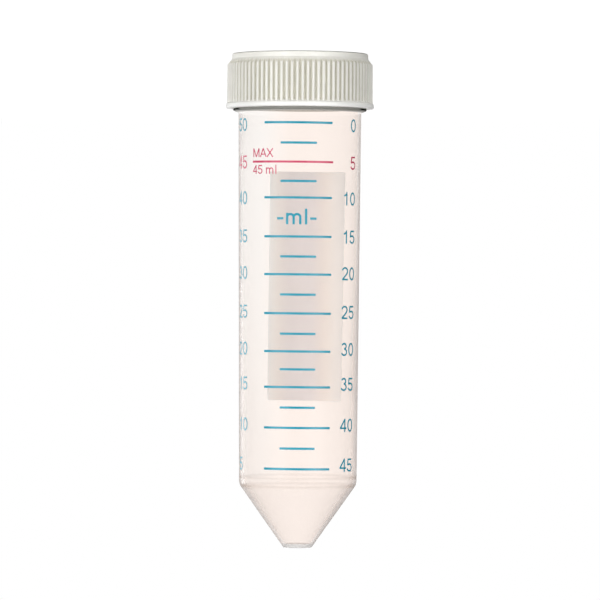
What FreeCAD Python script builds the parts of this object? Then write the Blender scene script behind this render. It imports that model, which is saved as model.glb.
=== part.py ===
import FreeCAD, Part
import math
import os

# A 50 ml conical centrifuge tube with its ribbed screw cap, in millimetres.
# It stands on the cap: the cap's flat top lies on z = 0 with its middle at the
# origin, and +Z runs along the axis to the tube's tip. Names with _R are radii
# from that axis, and names with _Z are heights above z = 0.

# Tube, one moulded shell with the same draft inside and out
TUBE_LENGTH = 114.4          # from the mouth's rim to the outside of the tip
BODY_R = 14.42               # outside, where the body starts at the neck collar
BODY_DRAFT_DEG = 0.40        # the body narrows towards the tip by this
WALL = 0.78                  # square to the surface
CONE_LENGTH = 14.9
TIP_R = 3.3                  # where the cone would meet the flat tip
TIP_ROUND = 0.3
SHOULDER_ROUND = 3.0         # outside, where the body turns into the cone
BOTTOM_WALL = 0.9
BOTTOM_ROUND = 1.2           # inside, at the foot of the cone
MOUTH_ROUND = 0.25
NECK_STEP = 0.08             # how far the threaded neck stands out from the body
COLLAR_STEP = 1.15           # how far the collar stands out from the neck
COLLAR_ROUND = 0.15
COLLAR_PAST_CAP = 0.50       # the stretch of its edge in sight past the cap's rim
COLLAR_IN_CAP = 0.25         # the stretch of its edge that the cap's skirt covers
COLLAR_SLOPE = 0.50          # height over which it runs down to the body
COLLAR_FOOT_ROUND = 0.3      # where it meets the body

# Screw cap
CAP_HEIGHT = 12.9
CAP_TOP_WALL = 1.6
THREAD_HEIGHT = 0.85         # room for the thread ridge that stands on the neck
THREAD_CLEARANCE = 0.15      # between that ridge's crest and the skirt's bore
SKIRT_WALL = 0.85            # from the bore to the floor of the grooves
SKIRT_ROUND = 0.5            # inside, between the top and the skirt
LEAD_IN = 0.45               # how far the bore opens towards its rim
LEAD_IN_HEIGHT = 1.3
COLLAR_CLEARANCE = 0.20      # the least room between the collar and the bore's rim

# Grip ribs round the skirt, between a plain band and a plain lip
RIB_COUNT = 86
RIB_HEIGHT = 0.75            # from the floor of the grooves to the crests
RIB_CREST_SHARE = 0.34       # the flat crest's share of the pitch
RIB_FOOT_SHARE = 0.76        # the rib's foot's share, wider so that the flanks slope
RIB_RUN_OUT = 1.4            # height over which the ribs rise out of the band
BAND_HEIGHT = 1.3
BAND_SETBACK = 0.35          # from the floor of the grooves in to the band
BAND_ROUND = 0.45            # round the edge of the cap's flat top
LIP_HEIGHT = 1.0
LIP_STEP = 0.25              # how far the lip stands out from the ribs
LIP_ROUND = 0.3

# Plug seal, a ring under the cap's top that fits in the tube's mouth
PLUG_LENGTH = 3.3
PLUG_WALL = 1.0
PLUG_CLEARANCE = 0.12        # all round, at the ring's root
PLUG_TAPER = 0.20            # how much smaller in radius the ring's end is
PLUG_ROUND = 0.35

# Radii and heights that follow from the sizes above
DRAFT = math.tan(math.radians(BODY_DRAFT_DEG))
MOUTH_Z = CAP_TOP_WALL
TIP_Z = MOUTH_Z + TUBE_LENGTH
CONE_Z = TIP_Z - CONE_LENGTH
COLLAR_START_Z = CAP_HEIGHT - COLLAR_IN_CAP
COLLAR_EDGE_Z = CAP_HEIGHT + COLLAR_PAST_CAP
BODY_Z = COLLAR_EDGE_Z + COLLAR_SLOPE
BODY_END_R = BODY_R - DRAFT * (CONE_Z - BODY_Z)
NECK_R = BODY_R + NECK_STEP
COLLAR_R = NECK_R + COLLAR_STEP
BORE_R = NECK_R + THREAD_HEIGHT + THREAD_CLEARANCE
RIM_R = max(BORE_R + LEAD_IN, COLLAR_R + COLLAR_CLEARANCE)
GROOVE_R = BORE_R + SKIRT_WALL
CREST_R = GROOVE_R + RIB_HEIGHT
LIP_R = CREST_R + LIP_STEP
LIP_Z = CAP_HEIGHT - LIP_HEIGHT
BAND_R = GROOVE_R - BAND_SETBACK
RIB_END_Z = BAND_HEIGHT + RIB_RUN_OUT


def bore_r(z):
    """The tube's inside radius at a height on its straight part."""
    return BODY_R + DRAFT * (BODY_Z - z) - WALL / math.cos(math.radians(BODY_DRAFT_DEG))


def rounded(before, corner, after, radius):
    """The arc that rounds one corner of an outline, as its start, middle and end."""
    to_before = (before - corner).normalize()
    to_after = (after - corner).normalize()
    half_angle = to_before.getAngle(to_after) / 2
    inward = (to_before + to_after).normalize()
    run = radius / math.tan(half_angle)
    middle = corner + inward * (radius / math.sin(half_angle) - radius)
    return corner + to_before * run, middle, corner + to_after * run


def outline(corners):
    """A closed wire in the plane of X and Z through corners of (radius, height, round)."""
    points = [FreeCAD.Vector(r, 0, z) for r, z, _ in corners]
    arcs = []
    for index, (_, _, radius) in enumerate(corners):
        corner = points[index]
        if radius:
            arcs.append(rounded(points[index - 1], corner, points[(index + 1) % len(points)], radius))
        else:
            arcs.append((corner, corner, corner))
    edges = []
    for index, (start, middle, end) in enumerate(arcs):
        edges.append(Part.makeLine(arcs[index - 1][2], start))
        if start != end:
            edges.append(Part.Arc(start, middle, end).toShape())
    return Part.Wire(edges)


def turned(corners):
    """The solid that an outline sweeps in one turn about the axis."""
    face = Part.Face(outline(corners))
    return face.revolve(FreeCAD.Vector(0, 0, 0), FreeCAD.Vector(0, 0, 1), 360)


def tube():
    """The tube: threaded neck, collar, drafted body and cone, with the same wall all along."""
    cone_angle = math.atan2(BODY_END_R - TIP_R, CONE_LENGTH)
    cone_slope = math.tan(cone_angle)
    cone_wall = WALL / math.cos(cone_angle)
    # the inside of the cone is its outside moved in, cut off by the bottom and the bore
    inset = bore_r(CONE_Z) - (BODY_END_R - cone_wall)
    inner_cone_z = CONE_Z - inset / (cone_slope - DRAFT)
    floor_z = TIP_Z - BOTTOM_WALL
    floor_r = TIP_R - cone_wall + cone_slope * BOTTOM_WALL
    return turned([
        (0, TIP_Z, 0),
        (TIP_R, TIP_Z, TIP_ROUND),
        (BODY_END_R, CONE_Z, SHOULDER_ROUND),
        (BODY_R, BODY_Z, COLLAR_FOOT_ROUND),
        (COLLAR_R, COLLAR_EDGE_Z, COLLAR_ROUND),
        (COLLAR_R, COLLAR_START_Z, COLLAR_ROUND),
        (NECK_R, COLLAR_START_Z, 0),
        (NECK_R, MOUTH_Z, MOUTH_ROUND),
        (bore_r(MOUTH_Z), MOUTH_Z, MOUTH_ROUND),
        (bore_r(inner_cone_z), inner_cone_z, SHOULDER_ROUND - WALL),
        (floor_r, floor_z, BOTTOM_ROUND),
        (0, floor_z, 0),
    ])


def cap_shell():
    """The cap without its ribs: flat top, plug seal, band, skirt and lip."""
    plug_r = bore_r(MOUTH_Z) - PLUG_CLEARANCE
    plug_end_z = CAP_TOP_WALL + PLUG_LENGTH
    return turned([
        (0, 0, 0),
        (BAND_R, 0, BAND_ROUND),
        (BAND_R, BAND_HEIGHT, 0),
        (GROOVE_R, RIB_END_Z, 0),
        (GROOVE_R, LIP_Z - (LIP_R - GROOVE_R), 0),
        (LIP_R, LIP_Z, 0),
        (LIP_R, CAP_HEIGHT, LIP_ROUND),
        (RIM_R, CAP_HEIGHT, 0),
        (BORE_R, CAP_HEIGHT - LEAD_IN_HEIGHT, 0),
        (BORE_R, CAP_TOP_WALL, SKIRT_ROUND),
        (plug_r, CAP_TOP_WALL, 0),
        (plug_r - PLUG_TAPER, plug_end_z, PLUG_ROUND),
        (plug_r - PLUG_WALL, plug_end_z, PLUG_ROUND),
        (plug_r - PLUG_WALL, CAP_TOP_WALL, 0),
        (0, CAP_TOP_WALL, 0),
    ])


def rib_corners(turn):
    """The four corners across one rib, whose middle is this many pitches from the front."""
    corners = []
    for radius, share in (
        (GROOVE_R, -RIB_FOOT_SHARE / 2),
        (CREST_R, -RIB_CREST_SHARE / 2),
        (CREST_R, RIB_CREST_SHARE / 2),
        (GROOVE_R, RIB_FOOT_SHARE / 2),
    ):
        angle = 2 * math.pi * (turn + share) / RIB_COUNT - math.pi / 2
        corners.append(FreeCAD.Vector(radius * math.cos(angle), radius * math.sin(angle), BAND_HEIGHT))
    return corners


def grip():
    """The ring of ribs, which rises out of the band on a cone and runs down to the lip."""
    corners = []
    for rib in range(RIB_COUNT):
        corners += rib_corners(rib + 0.5)
    star = Part.Face(Part.makePolygon(corners + corners[:1]))
    root_r = GROOVE_R - SKIRT_WALL / 2
    envelope = turned([
        (root_r, BAND_HEIGHT, 0),
        (BAND_R, BAND_HEIGHT, 0),
        (CREST_R, RIB_END_Z, 0),
        (CREST_R, LIP_Z, 0),
        (root_r, LIP_Z, 0),
    ])
    return star.extrude(FreeCAD.Vector(0, 0, LIP_Z - BAND_HEIGHT)).common(envelope)


def cap():
    """The screw cap, moulded in one piece."""
    return cap_shell().fuse(grip()).removeSplitter()


os.makedirs("parts", exist_ok=True)
for name, shape in (("tube", tube()), ("cap", cap())):
    solid = shape.Solids[0]
    print(name, "solids:", len(shape.Solids), "valid:", solid.isValid(), "mm3:", round(solid.Volume, 1))
    solid.exportStep(f"parts/{name}.step")
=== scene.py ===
"""Looks of a 50 ml conical screw-cap tube that stands on its cap.

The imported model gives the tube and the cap.  This script gives both their
plastics, adds the screw threads under the cap, the printed scale and the
writing patch, and sets the stage, the lamps and the camera.  The finishes and
the stage are in metres, and the print and the threads in millimetres.
"""
import logging
import math
from abc import ABC, abstractmethod
from dataclasses import dataclass, field
from enum import Enum
from typing import Any, Sequence

import bpy
from mathutils import Matrix, Vector
from mathutils.geometry import delaunay_2d_cdt


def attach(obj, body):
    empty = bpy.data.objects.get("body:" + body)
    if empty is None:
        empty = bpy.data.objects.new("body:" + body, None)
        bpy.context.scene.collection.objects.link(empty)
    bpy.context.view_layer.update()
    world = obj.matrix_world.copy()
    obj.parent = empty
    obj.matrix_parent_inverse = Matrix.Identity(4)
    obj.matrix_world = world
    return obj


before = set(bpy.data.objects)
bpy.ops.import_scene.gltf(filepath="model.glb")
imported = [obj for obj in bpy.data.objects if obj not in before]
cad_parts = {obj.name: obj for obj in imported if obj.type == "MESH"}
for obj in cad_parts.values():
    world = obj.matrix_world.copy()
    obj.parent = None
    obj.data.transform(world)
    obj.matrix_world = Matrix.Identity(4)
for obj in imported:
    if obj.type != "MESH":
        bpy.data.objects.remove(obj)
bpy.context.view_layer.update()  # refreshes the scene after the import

MM = 0.001
TUBE_BODY = "tube"
CAP_BODY = "cap"
TUBE_SLOT = "tube_plastic"
CAP_SLOT = "cap_plastic"

Node = bpy.types.Node
Socket = bpy.types.NodeSocket
Colour = tuple[float, float, float, float]
Point = tuple[float, float]
Span = tuple[float, float]
BLACK: Colour = (0.0, 0.0, 0.0, 1.0)
WHITE: Colour = (1.0, 1.0, 1.0, 1.0)
OVERCUT = 1.0  # how far the cuts that bend the print reach past its shapes
MERGE_DISTANCE = 1e-5  # corners of the print nearer than this become one
CLOSED_GAP = 1e-6  # a pen stroke whose ends are nearer than this is a ring

log = logging.getLogger("conical_tube")


def tone(red: int, green: int, blue: int) -> Colour:
    """Gives the linear colour of a display colour.

    Args:
        red: Red, 0 to 255.
        green: Green, 0 to 255.
        blue: Blue, 0 to 255.

    Returns:
        The colour in linear light, with full opacity.
    """

    def linear(step: int) -> float:
        """Straightens one channel."""
        share = step / 255
        return share / 12.92 if share <= 0.04045 else ((share + 0.055) / 1.055) ** 2.4

    return linear(red), linear(green), linear(blue), 1.0


# Shader maths


class Value:
    """A number that varies over a surface, with the operators of plain maths."""

    def __init__(self, sheet: "NodeSheet", socket: Socket) -> None:
        """Wraps one output socket of a sheet's tree."""
        self.sheet = sheet
        self.socket = socket

    def math(self, operation: str, *terms: "Value | float") -> "Value":
        """Adds one Math node.

        Args:
            operation: The node's operation.
            terms: The values of its sockets, in their order.

        Returns:
            The node's result.
        """
        made = self.sheet.node("ShaderNodeMath", {"operation": operation}, dict(enumerate(terms)))
        return Value(self.sheet, made.outputs[0])

    def __add__(self, other: "Value | float") -> "Value":
        """Adds."""
        return self.math("ADD", self, other)

    def __radd__(self, other: float) -> "Value":
        """Adds to a number."""
        return self.math("ADD", other, self)

    def __sub__(self, other: "Value | float") -> "Value":
        """Subtracts."""
        return self.math("SUBTRACT", self, other)

    def __rsub__(self, other: float) -> "Value":
        """Subtracts from a number."""
        return self.math("SUBTRACT", other, self)

    def __mul__(self, other: "Value | float") -> "Value":
        """Multiplies."""
        return self.math("MULTIPLY", self, other)

    def __rmul__(self, other: float) -> "Value":
        """Multiplies a number."""
        return self.math("MULTIPLY", other, self)

    def __truediv__(self, other: "Value | float") -> "Value":
        """Divides."""
        return self.math("DIVIDE", self, other)

    def __rtruediv__(self, other: float) -> "Value":
        """Divides a number."""
        return self.math("DIVIDE", other, self)

    def __pow__(self, other: float) -> "Value":
        """Raises to a power."""
        return self.math("POWER", self, other)

    def __rpow__(self, other: float) -> "Value":
        """Raises a number to a power."""
        return self.math("POWER", other, self)

    def both(self, other: "Value | float") -> "Value":
        """Gives the lower of two values."""
        return self.math("MINIMUM", self, other)

    def either(self, other: "Value | float") -> "Value":
        """Gives the higher of two values."""
        return self.math("MAXIMUM", self, other)

    def size(self) -> "Value":
        """Drops the sign."""
        return self.math("ABSOLUTE", self)

    def rise(self, start: "Value | float", end: "Value | float") -> "Value":
        """Gives a smooth step from 0 at start to 1 at end.

        Args:
            start: The value at which the step is 0.
            end: The value at which the step is 1.

        Returns:
            The step, held between 0 and 1.
        """
        made = self.sheet.node(
            "ShaderNodeMapRange",
            {"interpolation_type": "SMOOTHSTEP", "clamp": True},
            {"Value": self, "From Min": start, "From Max": end, "To Min": 0.0, "To Max": 1.0},
        )
        return Value(self.sheet, made.outputs[0])


class NodeSheet:
    """The node tree of one material or world, emptied and filled again."""

    def __init__(self, tree: bpy.types.NodeTree) -> None:
        """Empties the tree."""
        self.tree = tree
        tree.nodes.clear()

    def node(
        self,
        kind: str,
        settings: dict[str, Any] | None = None,
        inputs: dict[str | int, Any] | None = None,
    ) -> Node:
        """Adds a node of any type.

        Args:
            kind: The node's type.
            settings: Its settings, which are set first.
            inputs: The values or links of its sockets, by name or place.

        Returns:
            The node.
        """
        made = self.tree.nodes.new(kind)
        for name, setting in (settings or {}).items():
            setattr(made, name, setting)
        for key, source in (inputs or {}).items():
            socket = self._socket(made, key)
            if isinstance(source, Node):
                self.tree.links.new(source.outputs[0], socket)
            elif isinstance(source, Value):
                self.tree.links.new(source.socket, socket)
            elif isinstance(source, Socket):
                self.tree.links.new(source, socket)
            else:
                socket.default_value = source
        return made

    @staticmethod
    def _socket(made: Node, key: str | int) -> Socket:
        """Finds an input of a node.

        Args:
            made: The node.
            key: The input's place, or its name among those in use.

        Returns:
            The input's socket.
        """
        if isinstance(key, int):
            return made.inputs[key]
        return next(s for s in made.inputs if s.enabled and s.name == key)

    def value(self, made: Node, name: str) -> Value:
        """Wraps a node's output, found by name."""
        return Value(self, made.outputs[name])

    def place(self) -> Socket:
        """Gives the place on the piece, in metres."""
        return self.node("ShaderNodeTexCoord").outputs["Object"]

    def part(self, vector: Socket, axis: str) -> Value:
        """Gives one part of a vector: X, Y or Z."""
        return self.value(self.node("ShaderNodeSeparateXYZ", inputs={"Vector": vector}), axis)

    def seen_directly(self) -> Value:
        """Gives 1 on rays from the eye, straight or through glass, and 0 on rays that light."""
        path = self.node("ShaderNodeLightPath")
        return self.value(path, "Is Camera Ray").either(self.value(path, "Is Transmission Ray"))

    def height_and_radius(self) -> tuple[Value, Value]:
        """Finds where a point of the piece is.

        Returns:
            Its height and its distance from the tube's axis, in metres.
        """
        place = self.place()
        across, along = self.part(place, "X"), self.part(place, "Y")
        return self.part(place, "Z"), (across * across + along * along) ** 0.5

    def noise(self, size: float, detail: float = 2.0, stretch: float = 1.0) -> Value:
        """Gives soft noise around a half.

        Args:
            size: The size of its patches, in metres.
            detail: How many finer layers it has.
            stretch: How much longer its patches are along the tube's axis.

        Returns:
            The noise, from about 0.2 to 0.8.
        """
        where = self.node(
            "ShaderNodeMapping",
            {"vector_type": "POINT"},
            {"Vector": self.place(), "Scale": (1.0, 1.0, 1.0 / stretch)},
        )
        made = self.node(
            "ShaderNodeTexNoise",
            {"noise_dimensions": "3D"},
            {"Vector": where, "Scale": 1.0 / size, "Detail": detail, "Roughness": 0.55},
        )
        return Value(self, made.outputs[0])

    def mix(self, factor: Value | float, first: Any, second: Any) -> Socket:
        """Mixes two colours.

        Args:
            factor: 0 for the first and 1 for the second.
            first: A colour or a colour socket.
            second: A colour or a colour socket.

        Returns:
            The mixed colour's socket.
        """
        inputs = {"Factor": factor, "A": first, "B": second}
        made = self.node("ShaderNodeMix", {"data_type": "RGBA"}, inputs)
        return next(s for s in made.outputs if s.enabled)

    def blend(self, share: Value, first: Node, second: Node) -> Node:
        """Mixes two shaders, from the first at 0 to the second at 1."""
        return self.node("ShaderNodeMixShader", inputs={0: share, 1: first, 2: second})

    def bump(self, height: Value, strength: float, distance: float) -> Node:
        """Adds a Bump node.

        Args:
            height: The relief, 0 to 1.
            strength: How strong it is.
            distance: How high 1 is, in metres.

        Returns:
            The node, whose output is a normal.
        """
        inputs = {"Height": height, "Strength": strength, "Distance": distance}
        return self.node("ShaderNodeBump", inputs=inputs)


# Finishes


class Finish(ABC):
    """A finish that becomes one material."""

    name: str

    @abstractmethod
    def shade(self, sheet: NodeSheet) -> Node:
        """Builds the finish on a sheet and returns its last shader."""

    def material(self) -> bpy.types.Material:
        """Makes the material once.

        Returns:
            The material, which is the one made before if there is one.
        """
        found = bpy.data.materials.get(self.name)
        if found is not None:
            return found
        made = bpy.data.materials.new(self.name)
        made.use_nodes = True
        sheet = NodeSheet(made.node_tree)
        sheet.node("ShaderNodeOutputMaterial", inputs={"Surface": self.shade(sheet)})
        return made


@dataclass
class WallZones:
    """Stretches of the tube's wall, each 1 there and 0 elsewhere."""

    collar: Value
    upright: Value
    slope: Value
    straight: Value
    lower: Value
    ring: Value
    solid: Value
    outside: Value


@dataclass(frozen=True)
class ClearPlastic(Finish):
    """Thin natural polypropylene: see-through, faintly milky, denser where it is seen edge on.

    Light that passes through takes a warm tint, painted paler on the straight part's +X side as painted
    light. The collar under the cap and the shoulder carry painted shade.
    """

    name: str = "natural polypropylene"
    warm: Colour = tone(255, 252, 250)
    # painted light: the paler tint of the straight part's +X side
    colourless: Colour = tone(255, 254, 253)
    milk: Colour = tone(243, 235, 231)
    clouds: Colour = tone(247, 239, 236)
    solid_colour: Colour = tone(226, 226, 226)
    # painted shade of the gap under the cap: dark grey on the collar, near black at its ends, lighter
    # on the slope below it
    collar_colour: Colour = tone(131, 132, 127)
    limb_colour: Colour = tone(4, 5, 4)
    slope_colour: Colour = tone(212, 209, 205)
    # painted shade along the two lines of the shoulder
    ring_colour: Colour = tone(206, 190, 180)
    # how milky each stretch is, from 0, clear, to 1
    film: float = 0.036
    lower_film: float = 0.032
    cloud_film: float = 0.02
    inner_film: float = 0.02
    edge_share: float = 0.02
    densest: float = 0.55
    solid_film: float = 0.6
    # how dense the painted shade is: under the cap on the collar and its slope, and along the
    # shoulder's lines
    collar_film: float = 0.96
    slope_film: float = 0.85
    ring_film: float = 0.13
    # where each stretch starts and ends
    lower_start: float = 30 * MM
    ring_heights: Span = (99.4 * MM, 101.4 * MM)
    ring_reach: float = 0.75 * MM
    solid_height: float = 115.1 * MM
    tip_height: float = 116.0 * MM
    tip_middle: float = 2.82 * MM
    cone_slope: float = 0.705
    body_middle: float = 14.03 * MM
    body_slope: float = 0.007
    collar_low: float = 12.3 * MM
    collar_high: float = 13.95 * MM
    collar_radius: float = 14.6 * MM
    rim_height: float = 12.95 * MM
    # where the painted shade under the cap changes
    upright_fall: Span = (13.325 * MM, 13.43 * MM)
    slope_rise: Span = (13.475 * MM, 13.775 * MM)
    limb_rise: Span = (0.53, 0.64)
    blur: float = 0.15 * MM
    # where the painted light on the +X side starts, and how much of it the lower part loses
    pale_rise: Span = (1.0 * MM, 10.0 * MM)
    pale_lost: float = 0.6
    # its surface
    cloud_size: float = 9 * MM
    cloud_stretch: float = 3.0
    cloud_rise: Span = (0.35, 0.7)
    grain_size: float = 0.9 * MM
    gloss_roughness: float = 0.24
    grain_roughness: float = 0.12
    collar_roughness: float = 0.5

    def zones(self, sheet: NodeSheet) -> WallZones:
        """Finds the stretches of the wall by height and by distance from the axis.

        Args:
            sheet: The material's sheet.

        Returns:
            The stretches.
        """
        blur = self.blur
        height, radius = sheet.height_and_radius()
        inward = sheet.value(sheet.node("ShaderNodeNewGeometry"), "Backfacing")
        collar = (
            height.rise(self.collar_low, self.collar_low + blur)
            * (1 - height.rise(self.collar_high - blur, self.collar_high))
            * radius.rise(self.collar_radius - blur, self.collar_radius)
            * (1 - inward)
        )
        low, high = (
            height.rise(z - self.ring_reach, z) * (1 - height.rise(z, z + self.ring_reach))
            for z in self.ring_heights
        )
        middle = (self.body_middle - (height - self.collar_high) * self.body_slope).both(
            self.tip_middle + (self.tip_height - height) * self.cone_slope
        )
        body = height.rise(self.collar_high, self.collar_high + 2 * blur)
        neck = 1 - height.rise(self.collar_low - blur, self.collar_low)
        return WallZones(
            collar=collar,
            upright=height.rise(self.rim_height, self.rim_height + blur)
            * (1 - height.rise(*self.upright_fall)),
            slope=height.rise(*self.slope_rise),
            straight=1 - height.rise(*self.ring_heights),
            lower=height.rise(self.lower_start, self.solid_height),
            ring=low.either(high),
            solid=height.rise(self.solid_height - blur, self.solid_height + blur),
            outside=radius.rise(middle - blur, middle + blur) * (body + neck),
        )

    def density(self, zones: WallZones, facing: Value, clouds: Value) -> Value:
        """Works out how milky the wall is.

        Args:
            zones: The stretches of the wall.
            facing: 0 where the wall is seen square on and 1 where it is seen edge on.
            clouds: The noise of the plastic's faint clouds.

        Returns:
            The share of milky plastic, 0 to 1.
        """
        outside = zones.outside
        film = self.film + zones.lower * self.lower_film + (clouds - 0.5) * self.cloud_film
        film = outside * film / ((1 - facing) ** 2 + self.edge_share) + (1 - outside) * self.inner_film
        film = film.either(zones.solid * self.solid_film).either(zones.ring * self.ring_film)
        # the painted shade under the cap is nearly opaque
        shade_band_film = self.collar_film - zones.slope * (self.collar_film - self.slope_film)
        return film.both(self.densest).either(zones.collar * shade_band_film)

    def milky(self, sheet: NodeSheet, zones: WallZones, clouds: Value) -> Node:
        """Makes the shader of the plastic's milky share.

        Args:
            sheet: The material's sheet.
            zones: The stretches of the wall.
            clouds: The noise of the plastic's faint clouds.

        Returns:
            The shader.
        """
        grain = sheet.noise(self.grain_size, detail=4.0)
        # painted shade under the cap: dark grey on the collar, lighter on its slope
        edge = sheet.mix(zones.slope, self.collar_colour, self.slope_colour)
        colour = sheet.mix(clouds.rise(*self.cloud_rise), self.milk, self.clouds)
        # painted shade along the shoulder's lines
        colour = sheet.mix(zones.ring, colour, self.ring_colour)
        colour = sheet.mix(zones.solid, colour, self.solid_colour)
        gloss = self.gloss_roughness + (grain - 0.5) * self.grain_roughness
        return sheet.node(
            "ShaderNodeBsdfPrincipled",
            inputs={
                "Base Color": sheet.mix(zones.collar, colour, edge),
                "Roughness": gloss + zones.collar * self.collar_roughness,
                "IOR": 1.49,
                "Specular IOR Level": 0.3,
                "Normal": sheet.bump(grain, strength=0.05, distance=0.04 * MM),
            },
        )

    def clear(self, sheet: NodeSheet, zones: WallZones) -> Node:
        """Makes the shader of the plastic's see-through share.

        Args:
            sheet: The material's sheet.
            zones: The stretches of the wall.

        Returns:
            The shader.
        """
        warm, colourless = (
            sheet.node("ShaderNodeBsdfTransparent", inputs={"Color": tint})
            for tint in (self.warm, self.colourless)
        )
        # painted light: a paler tint on the +X side, less of it low down
        side = sheet.part(sheet.place(), "X").rise(*self.pale_rise)
        painted_light_side = side * zones.straight * (1 - zones.lower * self.pale_lost)
        return sheet.blend(painted_light_side, warm, colourless)

    def shade(self, sheet: NodeSheet) -> Node:
        """Builds the finish.

        Args:
            sheet: The material's sheet.

        Returns:
            The last shader.
        """
        zones = self.zones(sheet)
        clouds = sheet.noise(self.cloud_size, stretch=self.cloud_stretch)
        facing = sheet.value(sheet.node("ShaderNodeLayerWeight", inputs={"Blend": 0.5}), "Facing")
        density = self.density(zones, facing, clouds)
        wall = sheet.blend(density, self.clear(sheet, zones), self.milky(sheet, zones, clouds))
        # painted shade: near black at the collar's ends, where the gap under the cap is seen edge on
        limb = zones.collar * zones.upright * facing.rise(*self.limb_rise)
        painted_gap_shade = sheet.node("ShaderNodeBsdfDiffuse", inputs={"Color": self.limb_colour})
        return sheet.blend(limb, wall, painted_gap_shade)


@dataclass(frozen=True)
class RibbedPlastic(Finish):
    """Ivory moulded polyethylene of the cap: satin, faintly mottled, with painted shade between the
    ribs and along the top edge, and painted light on the lip.

    A faint glow inside the rim stands for the light that comes through the skirt where it is thinnest.
    """

    name: str = "ivory cap plastic"
    light: Colour = tone(242, 241, 236)
    mottled: Colour = tone(237, 236, 230)
    # painted shade between the ribs
    deep: Colour = tone(222, 220, 208)
    # painted light: the lip paler, its lower edge palest
    thin: Colour = tone(247, 247, 243)
    rim: Colour = tone(255, 255, 253)
    # painted shade: a grey line along the cap's top edge, where it stands on the floor
    rubbed: Colour = tone(186, 187, 182)
    skirt_light: Colour = tone(138, 137, 131)
    # where each tone starts and ends
    rubbed_rise: Span = (0.144 * MM, 0.24 * MM)
    rib_start: Span = (1.6 * MM, 2.4 * MM)
    rib_end: Span = (11.6 * MM, 11.9 * MM)
    rim_rise: Span = (11.9 * MM, 12.5 * MM)
    groove_rise: Span = (16.7 * MM, 17.09 * MM)
    inner_rise: Span = (10.8 * MM, 12.3 * MM)
    inner_wall: Span = (15.95 * MM, 15.97 * MM)
    # its surface
    mottle_size: float = 5 * MM
    mottle_rise: Span = (0.3, 0.7)
    grain_size: float = 0.35 * MM
    roughness: float = 0.42
    mottle_roughness: float = 0.16
    grain_roughness: float = 0.08

    def shade(self, sheet: NodeSheet) -> Node:
        """Builds the finish.

        Args:
            sheet: The material's sheet.

        Returns:
            The last shader.
        """
        height, radius = sheet.height_and_radius()
        mottle = sheet.noise(self.mottle_size, detail=3.0)
        grain = sheet.noise(self.grain_size, detail=3.0)
        # painted shade along the top edge
        rubbed = 1 - height.rise(*self.rubbed_rise)
        lip = height.rise(*self.rib_end)
        groove = height.rise(*self.rib_start) * (1 - lip) * (1 - radius.rise(*self.groove_rise))
        inside = height.rise(*self.inner_rise) * (1 - radius.rise(*self.inner_wall))
        colour = sheet.mix(mottle.rise(*self.mottle_rise), self.light, self.mottled)
        # painted light on the lip and on its lower edge
        colour = sheet.mix(lip, colour, self.thin)
        colour = sheet.mix(height.rise(*self.rim_rise), colour, self.rim)
        # painted shade between the ribs
        colour = sheet.mix(groove, colour, self.deep)
        satin = self.roughness + (mottle - 0.5) * self.mottle_roughness
        return sheet.node(
            "ShaderNodeBsdfPrincipled",
            inputs={
                "Base Color": sheet.mix(rubbed, colour, self.rubbed),
                "Roughness": satin + (grain - 0.5) * self.grain_roughness,
                "IOR": 1.5,
                "Emission Color": sheet.mix(inside, BLACK, self.skirt_light),
                "Emission Strength": 1.0,
                "Normal": sheet.bump(grain, strength=0.12, distance=0.03 * MM),
            },
        )


@dataclass(frozen=True)
class PrintedInk(Finish):
    """Screen-printed ink: a thin, slightly uneven film."""

    name: str
    full: Colour
    thin: Colour
    roughness: float = 0.38
    patch_size: float = 1.6 * MM
    patch_rise: Span = (0.42, 0.75)
    patch_roughness: float = 0.2
    mesh_size: float = 0.22 * MM

    def colour(self, sheet: NodeSheet, patches: Value) -> Socket:
        """Gives the ink's colour.

        Args:
            sheet: The material's sheet.
            patches: The noise that makes the film uneven.

        Returns:
            The colour's socket.
        """
        return sheet.mix(patches.rise(*self.patch_rise), self.full, self.thin)

    def light_through(self, sheet: NodeSheet) -> Colour | Socket:
        """Gives the light that comes through the film from behind: none."""
        return BLACK

    def shade(self, sheet: NodeSheet) -> Node:
        """Builds the finish.

        Args:
            sheet: The material's sheet.

        Returns:
            The last shader.
        """
        patches = sheet.noise(self.patch_size, detail=3.0)
        weave = sheet.noise(self.mesh_size, detail=1.0)
        return sheet.node(
            "ShaderNodeBsdfPrincipled",
            inputs={
                "Base Color": self.colour(sheet, patches),
                "Emission Color": self.light_through(sheet),
                "Emission Strength": 1.0,
                "Roughness": self.roughness + (patches - 0.5) * self.patch_roughness,
                "IOR": 1.5,
                "Normal": sheet.bump(weave, strength=0.3, distance=0.012 * MM),
            },
        )


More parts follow.
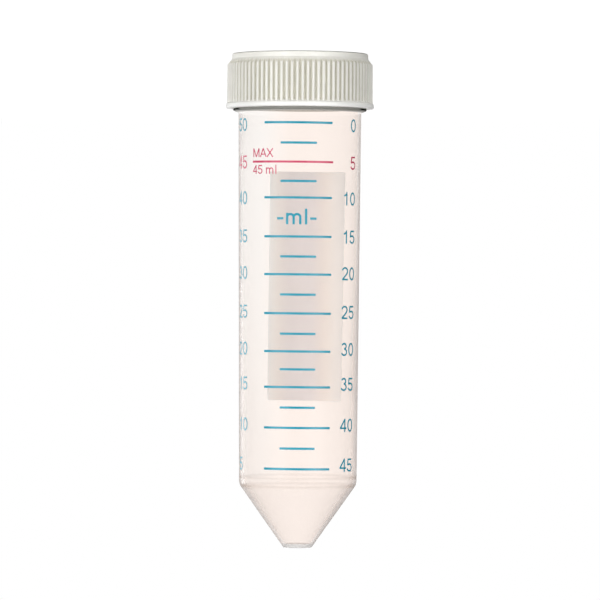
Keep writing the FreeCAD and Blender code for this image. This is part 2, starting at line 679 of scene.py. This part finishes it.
@dataclass(frozen=True)
class WritingInk(PrintedInk):
    """Matt white ink to write on: cooler against the wall, paler towards the field's long sides with
    painted light and a painted glow from behind.
    """

    outside: Colour = tone(247, 247, 245)
    # painted light from behind: paler towards the field's long sides
    thick: Colour = tone(248, 253, 255)
    # painted glow of light from behind, near the field's long sides
    light: Colour = tone(94, 110, 120)
    middle: float = -0.45 * MM
    thick_rise: Span = (2.0 * MM, 7.0 * MM)
    light_rise: Span = (4.35 * MM, 9.15 * MM)
    backward: Span = (-0.01, 0.01)

    def against_wall(self, sheet: NodeSheet) -> Value:
        """Gives 1 on the film's side against the tube, which faces the front, and 0 outside."""
        normal = sheet.node("ShaderNodeNewGeometry").outputs["Normal"]
        return 1 - sheet.part(normal, "Y").rise(*self.backward)

    def off_middle(self, sheet: NodeSheet) -> Value:
        """Gives how far a point lies from the middle of the field's width."""
        return (sheet.part(sheet.place(), "X") - self.middle).size()

    def colour(self, sheet: NodeSheet, patches: Value) -> Socket:
        """Gives the ink's colour.

        Args:
            sheet: The material's sheet.
            patches: The noise that makes the film uneven.

        Returns:
            The colour's socket.
        """
        # painted light from behind, towards the long sides
        spread = self.off_middle(sheet).rise(*self.thick_rise)
        inner = sheet.mix(spread, super().colour(sheet, patches), self.thick)
        return sheet.mix(self.against_wall(sheet), self.outside, inner)

    def light_through(self, sheet: NodeSheet) -> Colour | Socket:
        """Gives a painted glow near the field's long sides, for light from behind seen through the
        wall.
        """
        spread = self.off_middle(sheet).rise(*self.light_rise)
        return sheet.mix(spread * self.against_wall(sheet), BLACK, self.light)


class Ink(Enum):
    """The inks of the print."""

    BLUE = PrintedInk("blue scale ink", tone(12, 150, 175), tone(38, 160, 184))
    RED = PrintedInk("red fill-line ink", tone(210, 74, 106), tone(220, 104, 131))
    WHITE = WritingInk("white writing ink", tone(231, 240, 250), tone(227, 235, 245), 0.72)


# Meshes


def add_piece(
    name: str,
    points: Sequence[Vector],
    faces: Sequence[Sequence[int]],
    finish: Finish,
    body: str,
    crease: float = 35.0,
) -> None:
    """Makes one closed piece that rides on a body.

    Args:
        name: The piece's name.
        points: Its corners, in metres.
        faces: Its faces, as places in points.
        finish: Its finish.
        body: The CAD body that carries it.
        crease: The angle above which an edge stays sharp, in degrees.
    """
    mesh = bpy.data.meshes.new(name)
    mesh.from_pydata([tuple(p) for p in points], [], [tuple(f) for f in faces])
    mesh.shade_smooth()
    mesh.set_sharp_from_angle(angle=math.radians(crease))
    mesh.materials.append(finish.material())
    mesh.validate()
    piece = bpy.data.objects.new(name, mesh)
    bpy.context.scene.collection.objects.link(piece)
    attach(piece, body)
    log.info("%s: %d faces on body %s", name, len(mesh.polygons), body)


def dress(node: str, finish: Finish) -> None:
    """Gives a carried-over CAD node its finish.

    Args:
        node: The node's name.
        finish: The finish of all its material slots.
    """
    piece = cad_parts[node]
    for place in range(len(piece.material_slots)):
        piece.material_slots[place].material = finish.material()
    log.info("%s: dressed in %s", node, finish.name)


# The print


def arc(centre: Point, radii: Point, start: float, end: float, steps: int = 14) -> list[Point]:
    """Gives points on an upright ellipse.

    Args:
        centre: Its centre.
        radii: Its half width and half height.
        start: The first point's angle, in degrees from the right, anticlockwise.
        end: The last point's angle.
        steps: How many pieces the arc is cut into.

    Returns:
        The points from start to end.
    """
    turns = [math.radians(start + (end - start) * i / steps) for i in range(steps + 1)]
    return [(centre[0] + radii[0] * math.cos(t), centre[1] + radii[1] * math.sin(t)) for t in turns]


def bend(first: Point, pull: Point, last: Point, steps: int = 8) -> list[Point]:
    """Gives points on a simple curve.

    Args:
        first: Where it starts.
        pull: The point that it is pulled towards.
        last: Where it ends.
        steps: How many pieces the curve is cut into.

    Returns:
        The points from start to end.
    """
    shares = [i / steps for i in range(steps + 1)]
    return [
        tuple((1 - t) ** 2 * a + 2 * t * (1 - t) * b + t * t * c for a, b, c in zip(first, pull, last))
        for t in shares
    ]


@dataclass(frozen=True)
class Lettering:
    """Plain block figures drawn as pen strokes on a body one unit tall."""

    weight: float = 0.125

    def advance(self, sign: str) -> float:
        """Gives the width that a sign takes up."""
        wide = {"M": 1.16, "A": 0.90, "X": 0.90, "m": 1.13, "l": 0.40, " ": 0.36, "-": 0.60}
        return wide.get(sign, 0.777)

    def strokes(self, sign: str) -> list[list[Point]]:
        """Gives a sign's strokes.

        Args:
            sign: One of the figures and letters that the scale uses.

        Returns:
            The points of each stroke's centre line.
        """
        edge = self.weight / 2
        top = 1 - edge
        shapes = {
            "0": [arc((0.39, 0.5), (0.27, top - 0.5), 0, 360, 32)],
            "1": [[(0.46, 0.0), (0.46, 1.0)], bend((0.46, 0.90), (0.36, 0.76), (0.20, 0.71))],
            "2": [
                arc((0.37, 0.70), (0.265, top - 0.70), 172, -28)
                + bend((0.56, 0.50), (0.36, 0.30), (0.13, 0.10)),
                [(0.08, edge), (0.68, edge)],
            ],
            "3": [
                arc((0.37, 0.745), (0.215, top - 0.745), 160, -90),
                arc((0.37, 0.30), (0.265, 0.30 - edge), 90, -162),
            ],
            "4": [
                [(0.54, 0.0), (0.54, 1.0)],
                [(0.52, 0.93), (0.10, 0.31)],
                [(0.05, 0.285), (0.72, 0.285)],
            ],
            "5": [
                [(0.17, top), (0.66, top)],
                [(0.205, 0.95), (0.145, 0.50)],
                arc((0.375, 0.325), (0.28, 0.325 - edge), 140, -162, 20),
            ],
            "M": [
                [(0.16, 0.0), (0.16, 1.0)],
                [(1.00, 0.0), (1.00, 1.0)],
                [(0.17, 0.98), (0.58, 0.02)],
                [(0.99, 0.98), (0.58, 0.02)],
            ],
            "A": [
                [(0.05, 0.0), (0.45, 0.99)],
                [(0.85, 0.0), (0.45, 0.99)],
                [(0.18, 0.33), (0.72, 0.33)],
            ],
            "X": [[(0.07, 0.0), (0.83, 1.0)], [(0.83, 0.0), (0.07, 1.0)]],
            "m": [
                [(0.14, 0.0), (0.14, 0.725)],
                arc((0.35, 0.46), (0.21, 0.725 - edge - 0.46), 180, 0) + [(0.56, 0.0)],
                arc((0.77, 0.46), (0.21, 0.725 - edge - 0.46), 180, 0) + [(0.98, 0.0)],
            ],
            "l": [[(0.22, 0.0), (0.22, 1.0)]],
            "-": [[(0.08, 0.375), (0.50, 0.375)]],
        }
        return shapes.get(sign, [])

    def width(self, text: str) -> float:
        """Gives the width of a line of text."""
        return sum(self.advance(sign) for sign in text)


class Anchor(Enum):
    """Which part of a line of text stands at its given place."""

    LEFT = 0.0
    MIDDLE = 0.5
    RIGHT = 1.0


@dataclass(frozen=True)
class Wall:
    """The outside of the tube's straight part, which the print lies on."""

    radius: float = 14.42
    top_height: float = 13.9
    draft_deg: float = 0.40

    def radius_at(self, height: float) -> float:
        """Gives the radius at a height, both in millimetres."""
        return self.radius - math.tan(math.radians(self.draft_deg)) * (height - self.top_height)

    def point(self, turn: float, height: float, proud: float) -> Vector:
        """Gives a point on the wall.

        Args:
            turn: The angle from the front, in radians, rising to the reader's right.
            height: The height above the table, in millimetres.
            proud: How far off the wall the point is, in millimetres.

        Returns:
            The point, in metres.
        """
        radius = (self.radius_at(height) + proud) * MM
        return Vector((-radius * math.sin(turn), -radius * math.cos(turn), height * MM))


@dataclass
class PrintLayer:
    """Ink shapes laid round the wall, in one colour.

    Shapes are drawn on the unrolled wall, with the turn round the tube as an
    arc length to the right and the height above the table downwards, because
    the print is read with the cap at the top.
    """

    wall: Wall
    film: float = 0.03
    lift: float = 0.004
    strip: float = 0.4
    skew: float = 0.0
    points: list[Vector] = field(default_factory=list)
    faces: list[tuple[int, ...]] = field(default_factory=list)

    def lay(self, shapes: Sequence[Sequence[Point]], turn: float, height: float) -> None:
        """Joins flat shapes into one and lays it on the wall as a thin closed slab.

        Args:
            shapes: Convex shapes that may overlap, in millimetres, x right and y up for the reader.
            turn: The angle of x = 0, in radians.
            height: The height of y = 0, in millimetres.
        """
        radius = self.wall.radius_at(height)
        corners: list[Vector] = []
        outlines: list[list[int]] = []
        for shape in shapes:
            outlines.append(list(range(len(corners), len(corners) + len(shape))))
            corners.extend(Vector(p) for p in shape)
        low = Vector((min(p.x for p in corners), min(p.y for p in corners)))
        high = Vector((max(p.x for p in corners), max(p.y for p in corners)))
        cuts: list[tuple[int, int]] = []
        for step in range(1, math.ceil((high.x - low.x) / self.strip)):
            x = low.x + step * self.strip
            cuts.append((len(corners), len(corners) + 1))
            corners.extend((Vector((x, low.y - OVERCUT)), Vector((x, high.y + OVERCUT))))
        flat, _, pieces, _, _, owners = delaunay_2d_cdt(corners, cuts, outlines, 0, MERGE_DISTANCE)
        inside = [tuple(p) for p, owner in zip(pieces, owners) if owner]
        used = {old: new for new, old in enumerate(sorted({i for p in inside for i in p}))}
        base, count = len(self.points), len(used)
        for proud in (self.lift + self.film, self.lift):
            for old in used:
                spot = flat[old]
                around = turn + spot.x / radius
                drop = self.skew * around * radius - spot.y
                self.points.append(self.wall.point(around, height + drop, proud))
        self._close([tuple(base + used[i] for i in p) for p in inside], count)

    def _close(self, top: Sequence[tuple[int, ...]], count: int) -> None:
        """Adds the faces of a slab.

        Args:
            top: The outer faces, anticlockwise for the reader.
            count: How far on in the points the inner corner of each outer one is.
        """
        edges = {(f[i], f[(i + 1) % len(f)]) for f in top for i in range(len(f))}
        self.faces.extend(top)
        self.faces.extend(tuple(i + count for i in reversed(f)) for f in top)
        for a, b in sorted(edges):
            if (b, a) not in edges:
                self.faces.append((b, a, a + count, b + count))

    def bar(self, start: float, end: float, height: float, weight: float) -> None:
        """Lays a line across the scale.

        Args:
            start: The left end's angle, in degrees.
            end: The right end's angle, in degrees.
            height: Its height, in millimetres.
            weight: Its thickness, in millimetres.
        """
        length = math.radians(end - start) * self.wall.radius_at(height)
        line = rounded_box(0, length, -weight / 2, weight / 2, weight / 4)
        self.lay([line], math.radians(start), height)

    def write(
        self,
        text: str,
        size: float,
        turn: float,
        height: float,
        anchor: Anchor,
        widen: float = 1.0,
        pen: Lettering = Lettering(),
    ) -> None:
        """Lays a line of text.

        Args:
            text: The text.
            size: The height of its capitals, in millimetres.
            turn: The angle of its anchor, in degrees.
            height: The height of its baseline, in millimetres.
            anchor: Which part of the text stands at the angle.
            widen: How much wider than plain the text is.
            pen: The hand that draws it.
        """
        x = -pen.width(text) * size * widen * anchor.value
        for sign in text:
            shapes: list[list[Point]] = []
            for stroke in pen.strokes(sign):
                placed = [(x + a * size * widen, b * size) for a, b in stroke]
                shapes.extend(ribbon(placed, pen.weight * size))
            if shapes:
                self.lay(shapes, math.radians(turn), height)
            x += pen.advance(sign) * size * widen

    def piece(self, name: str, ink: Ink) -> None:
        """Makes the piece of all that was laid."""
        add_piece(name, self.points, self.faces, ink.value, TUBE_BODY)


def rounded_box(left: float, right: float, low: float, high: float, corner: float) -> list[Point]:
    """Draws a box with round corners.

    Args:
        left: Its left side.
        right: Its right side.
        low: Its lower side.
        high: Its upper side.
        corner: The radius of its corners.

    Returns:
        Its outline, anticlockwise.
    """
    outline: list[Point] = []
    near, far, foot, top = left + corner, right - corner, low + corner, high - corner
    for centre, start in (((far, foot), -90), ((far, top), 0), ((near, top), 90), ((near, foot), 180)):
        outline.extend(arc(centre, (corner, corner), start, start + 90, 4))
    return outline


def ribbon(line: Sequence[Point], weight: float) -> list[list[Point]]:
    """Gives a pen stroke as four-sided shapes.

    Args:
        line: The points of its centre line.
        weight: Its width.

    Returns:
        One shape for each run between two points, anticlockwise.
    """
    closed = math.dist(line[0], line[-1]) < CLOSED_GAP
    ring = list(line[:-1]) if closed else list(line)
    half = weight / 2
    sides: list[tuple[Point, Point]] = []
    for index, (x, y) in enumerate(ring):
        before = ring[index - 1] if closed or index else (x, y)
        after = ring[(index + 1) % len(ring)] if closed or index < len(ring) - 1 else (x, y)
        along = Vector((after[0] - before[0], after[1] - before[1])).normalized()
        right, up = along.x * half, along.y * half
        sides.append(((x - up, y + right), (x + up, y - right)))
    if closed:
        sides.append(sides[0])
    return [[a[1], b[1], b[0], a[0]] for a, b in zip(sides, sides[1:])]


@dataclass
class PrintedScale:
    """The blue scale, its two columns of figures, the unit and the red fill line."""

    wall: Wall
    long_heights: tuple[float, ...] = (
        16.62, 25.75, 34.06, 43.12, 51.90, 60.97, 69.80, 78.10, 87.56, 97.14,
    )
    short_heights: tuple[float, ...] = (21.32, 30.24, 47.76, 56.60, 65.70, 73.96, 82.85, 92.37)
    long_ends: Span = (-34.7, 31.9)
    short_ends: Span = (-18.0, 16.2)
    line_weight: float = 0.54
    skew: float = 0.0057
    fill_ends: Span = (-49.3, 33.0)
    fill_weight: float = 0.50
    figure_heights: tuple[float, ...] = (
        17.03, 25.78, 34.12, 43.04, 51.60, 60.62, 69.25, 77.41, 86.95, 96.25,
    )
    figure_size: float = 3.1
    figure_widen: float = 1.1
    falling_turn: float = -79.0
    rising_turn: float = 65.7
    word_size: float = 2.05
    word_above: float = 1.05
    word_below: float = 0.8
    unit_size: float = 3.65
    unit_height: float = 40.3
    unit_turn: float = -2.2
    unit_pen: Lettering = Lettering(0.15)
    full: int = 50
    step: int = 5
    fill: int = 45

    def build(self) -> None:
        """Builds the blue and the red pieces."""
        blue, red = PrintLayer(self.wall, skew=self.skew), PrintLayer(self.wall, skew=self.skew)
        for index, height in enumerate(self.long_heights):
            reading = self.full - index * self.step
            if reading == self.fill:
                layer, ends, weight = red, self.fill_ends, self.fill_weight
            else:
                layer, ends, weight = blue, self.long_ends, self.line_weight
            layer.bar(*ends, height, weight)
            self._figures(layer, reading, self.figure_heights[index])
        for height in self.short_heights:
            blue.bar(*self.short_ends, height, self.line_weight)
        self._words(blue, red)
        blue.piece("blue_scale", Ink.BLUE)
        red.piece("red_fill_line", Ink.RED)

    def _figures(self, layer: PrintLayer, reading: int, height: float) -> None:
        """Writes the two readings of a long line.

        Args:
            layer: The ink layer that takes them.
            reading: The falling reading; the rising one is what is missing to full.
            height: The height of the figures' middle, in millimetres.
        """
        size, widen = self.figure_size, self.figure_widen
        base = height + size / 2
        layer.write(str(reading), size, self.falling_turn, base, Anchor.LEFT, widen)
        layer.write(str(self.full - reading), size, self.rising_turn, base, Anchor.RIGHT, widen)

    def _words(self, blue: PrintLayer, red: PrintLayer) -> None:
        """Writes the unit, and the plain word and figure of the fill line.

        Args:
            blue: The layer that takes the unit.
            red: The layer that takes the fill line's word and figure.
        """
        line, left, size = self.long_heights[1], self.fill_ends[0], self.word_size
        red.write("MAX", size, left, line - self.word_above, Anchor.LEFT)
        red.write(f"{self.fill} ml", size, left, line + self.word_below + size, Anchor.LEFT)
        blue.write(
            "-ml-", self.unit_size, self.unit_turn, self.unit_height, Anchor.MIDDLE, pen=self.unit_pen
        )


@dataclass
class WritingPatch:
    """The white field on the back, for notes by hand."""

    wall: Wall
    left: float = 132.2
    right: float = 210.3
    low: float = 27.38
    high: float = 81.8
    corner: float = 0.4
    lean: float = 0.0122
    film: float = 0.04
    strip: float = 0.8

    def build(self) -> None:
        """Builds the patch, which was printed a little askew."""
        layer = PrintLayer(self.wall, film=self.film, strip=self.strip)
        middle = (self.low + self.high) / 2
        length = math.radians(self.right - self.left) * self.wall.radius_at(middle)
        half = (self.high - self.low) / 2
        outline = rounded_box(-length / 2, length / 2, -half, half, self.corner)
        leaning = [(x - self.lean * y, y + self.lean * x) for x, y in outline]
        layer.lay([leaning], math.radians((self.left + self.right) / 2), middle)
        layer.piece("writing_patch", Ink.WHITE)


# The screw threads


class Facing(Enum):
    """Which way a thread's crest points."""

    OUT = 1
    IN = -1


@dataclass
class ThreadRidge:
    """One helical ridge, closed, that runs out into its wall at both ends."""

    radius: float
    height: float
    facing: Facing
    start_height: float
    start_turn: float = 0.0
    pitch: float = 3.2
    turns: float = 2.4
    foot: float = 1.25
    crest: float = 0.5
    shoulder: float = 0.88
    ease: float = 0.06
    flank_ease: float = 0.02
    sunk: float = 0.03
    run_out_deg: float = 28.0
    least_share: float = 0.02
    step_deg: float = 4.0

    def section(self, share: float) -> list[Point]:
        """Gives the ridge's cross-section.

        Args:
            share: How far the ridge has risen out of its wall, 0 to 1.

        Returns:
            Its corners, as distance from the wall and height from its middle.
        """
        foot, crest, rise = self.foot / 2, self.crest / 2, self.height * share
        upper = [
            (rise, crest - self.ease),
            (rise * self.shoulder, crest + self.ease),
            (rise / 2, (foot + crest) / 2 - self.flank_ease),
            (-self.sunk, foot),
        ]
        return [(out, -up) for out, up in reversed(upper)] + upper

    def build(self, name: str, finish: Finish, body: str, slot: str) -> None:
        """Builds the ridge.

        Args:
            name: The piece's name.
            finish: Its finish.
            body: The CAD body that carries it.
            slot: The record's material slot; not used.
        """
        total = self.turns * 360
        stations = round(total / self.step_deg)
        points: list[Vector] = []
        for station in range(stations + 1):
            angle = station * total / stations
            near_end = min(angle, total - angle) / self.run_out_deg
            share = max(self.least_share, math.sin(min(near_end, 1.0) * math.pi / 2))
            turn = math.radians(self.start_turn + angle)
            middle = self.start_height + self.pitch * angle / 360
            for out, up in self.section(share):
                radius = (self.radius + self.facing.value * out) * MM
                spot = (radius * math.cos(turn), radius * math.sin(turn), (middle + up) * MM)
                points.append(Vector(spot))
        size = len(self.section(1.0))
        faces: list[tuple[int, ...]] = []
        for station in range(stations):
            here = station * size
            for corner in range(size):
                follow = (corner + 1) % size
                faces.append((here + corner, here + size + corner, here + size + follow, here + follow))
        faces.append(tuple(range(size)))
        faces.append(tuple(stations * size + corner for corner in reversed(range(size))))
        if self.facing is Facing.IN:
            faces = [tuple(reversed(face)) for face in faces]
        add_piece(name, points, faces, finish, body)


@dataclass
class Tube:
    """The tube's body and its neck thread."""

    finish: Finish = ClearPlastic()
    neck_radius: float = 14.5
    thread_height: float = 0.56
    thread_start: float = 2.9

    def build(self) -> None:
        """Dresses the body and builds the thread."""
        dress("tube", self.finish)
        ridge = ThreadRidge(self.neck_radius, self.thread_height, Facing.OUT, self.thread_start)
        ridge.build("neck_thread", self.finish, TUBE_BODY, TUBE_SLOT)


@dataclass
class Cap:
    """The ribbed cap and the thread inside its skirt."""

    finish: Finish = RibbedPlastic()
    bore_radius: float = 15.5
    thread_height: float = 0.38
    thread_start: float = 2.9
    thread_turn: float = 180.0
    thread_turns: float = 2.2

    def build(self) -> None:
        """Dresses the cap and builds the thread, half a turn from the tube's."""
        dress("cap", self.finish)
        ridge = ThreadRidge(
            self.bore_radius,
            self.thread_height,
            Facing.IN,
            self.thread_start,
            self.thread_turn,
            turns=self.thread_turns,
        )
        ridge.build("cap_thread", self.finish, CAP_BODY, CAP_SLOT)


# The stage


@dataclass
class Lamp:
    """One soft lamp that points at the tube."""

    name: str
    place: tuple[float, float, float]
    size: tuple[float, float]
    watts: float
    aim: tuple[float, float, float] = (0.0, 0.0, 0.06)

    def build(self) -> None:
        """Builds the lamp."""
        light = bpy.data.lights.new(self.name, "AREA")
        light.shape = "RECTANGLE"
        light.size, light.size_y = self.size
        light.energy = self.watts
        lamp = bpy.data.objects.new(self.name, light)
        lamp.location = self.place
        lamp.rotation_mode = "QUATERNION"
        lamp.rotation_quaternion = (Vector(self.aim) - Vector(self.place)).to_track_quat("-Z", "Y")
        bpy.context.scene.collection.objects.link(lamp)
        log.info("%s: lamp of %.1f W", self.name, self.watts)


@dataclass(frozen=True)
class FloorPaint(Finish):
    """Pale matt floor that keeps a faint shadow."""

    name: str = "pale floor"
    colour: Colour = tone(238, 237, 235)
    shown: Colour = tone(150, 150, 150)
    glow: float = 0.92
    fade_rise: Span = (0.10, 0.45)
    grain_size: float = 6 * MM

    def shade(self, sheet: NodeSheet) -> Node:
        """Builds the finish.

        Args:
            sheet: The material's sheet.

        Returns:
            The last shader.
        """
        grain = sheet.noise(self.grain_size, detail=4.0)
        bump = sheet.bump(grain, strength=0.1, distance=0.1 * MM)
        plain = sheet.node("ShaderNodeBsdfDiffuse", inputs={"Color": self.colour, "Normal": bump})
        kept = sheet.node("ShaderNodeBsdfDiffuse", inputs={"Color": self.shown})
        shine = sheet.node("ShaderNodeEmission", inputs={"Color": WHITE, "Strength": self.glow})
        near = sheet.node("ShaderNodeAddShader", inputs={0: kept, 1: shine})
        white = sheet.node("ShaderNodeEmission", inputs={"Color": WHITE, "Strength": 1.0})
        away = sheet.height_and_radius()[1].rise(*self.fade_rise)
        return sheet.blend(sheet.seen_directly(), plain, sheet.blend(away, near, white))


@dataclass
class Studio:
    """The floor, the sky, the lamps and the camera."""

    floor_radius: float = 3.0
    floor_sides: int = 96
    sky_level: float = 0.055
    distance: float = 1.1
    eye_height: float = 57.85 * MM
    eye_side: float = -0.28 * MM
    lean_deg: float = 0.33
    lens: float = 280.8
    sensor: float = 36.0
    clip: Span = (0.05, 20.0)
    lamps: tuple[Lamp, ...] = (
        Lamp("key", (0.66, -0.835, 0.10), (0.6, 0.5), 6.45),
        Lamp("high key", (0.574, -0.819, 0.75), (0.6, 0.5), 4.1),
        Lamp("fill", (-0.60, -0.88, 0.10), (0.6, 0.5), 7.8),
        Lamp("back", (0.814, 0.683, 0.10), (0.6, 0.5), 4.0),
        Lamp("rear", (0.0, 0.9, 0.65), (0.6, 0.5), 3.6),
    )

    def build(self) -> None:
        """Builds the whole stage."""
        self._floor()
        self._sky()
        for lamp in self.lamps:
            lamp.build()
        self._camera()
        bpy.context.scene.view_settings.view_transform = "Standard"

    def _floor(self) -> None:
        """Builds the floor as a wide disc."""
        turns = [2 * math.pi * i / self.floor_sides for i in range(self.floor_sides)]
        rim = [(self.floor_radius * math.cos(t), self.floor_radius * math.sin(t), 0.0) for t in turns]
        mesh = bpy.data.meshes.new("floor")
        mesh.from_pydata(rim, [], [tuple(range(self.floor_sides))])
        mesh.materials.append(FloorPaint().material())
        floor = bpy.data.objects.new("floor", mesh)
        bpy.context.scene.collection.objects.link(floor)
        log.info("floor: %.1f m across", 2 * self.floor_radius)

    def _sky(self) -> None:
        """Lights the scene softly from all round, and shows as white behind it."""
        world = bpy.data.worlds.new("studio")
        bpy.context.scene.world = world
        world.use_nodes = True
        sheet = NodeSheet(world.node_tree)
        soft = sheet.node("ShaderNodeBackground", inputs={"Color": WHITE, "Strength": self.sky_level})
        white = sheet.node("ShaderNodeBackground", inputs={"Color": WHITE, "Strength": 1.0})
        sky = sheet.blend(sheet.seen_directly(), soft, white)
        sheet.node("ShaderNodeOutputWorld", inputs={"Surface": sky})

    def _camera(self) -> None:
        """Sets the camera level with the tube, rolled so that the cap is at the top."""
        lean = math.radians(self.lean_deg)
        right = Vector((-math.cos(lean), 0.0, -math.sin(lean)))
        up = Vector((math.sin(lean), 0.0, -math.cos(lean)))
        data = bpy.data.cameras.new("camera")
        data.lens = self.lens
        data.sensor_width = self.sensor
        data.clip_start, data.clip_end = self.clip
        camera = bpy.data.objects.new("camera", data)
        turn = Matrix((right, up, right.cross(up))).transposed().to_4x4()
        eye = (self.eye_side, -self.distance, self.eye_height)
        camera.matrix_world = Matrix.Translation(eye) @ turn
        bpy.context.scene.collection.objects.link(camera)
        bpy.context.scene.camera = camera
        log.info("camera: %.2f m away", self.distance)


def main() -> None:
    """Builds the tube, the cap, the print and the stage, in that order."""
    logging.basicConfig(level=logging.INFO, format="%(name)s: %(message)s")
    wall = Wall()
    Tube().build()
    Cap().build()
    PrintedScale(wall).build()
    WritingPatch(wall).build()
    Studio().build()


if __name__ == "__main__":
    main()
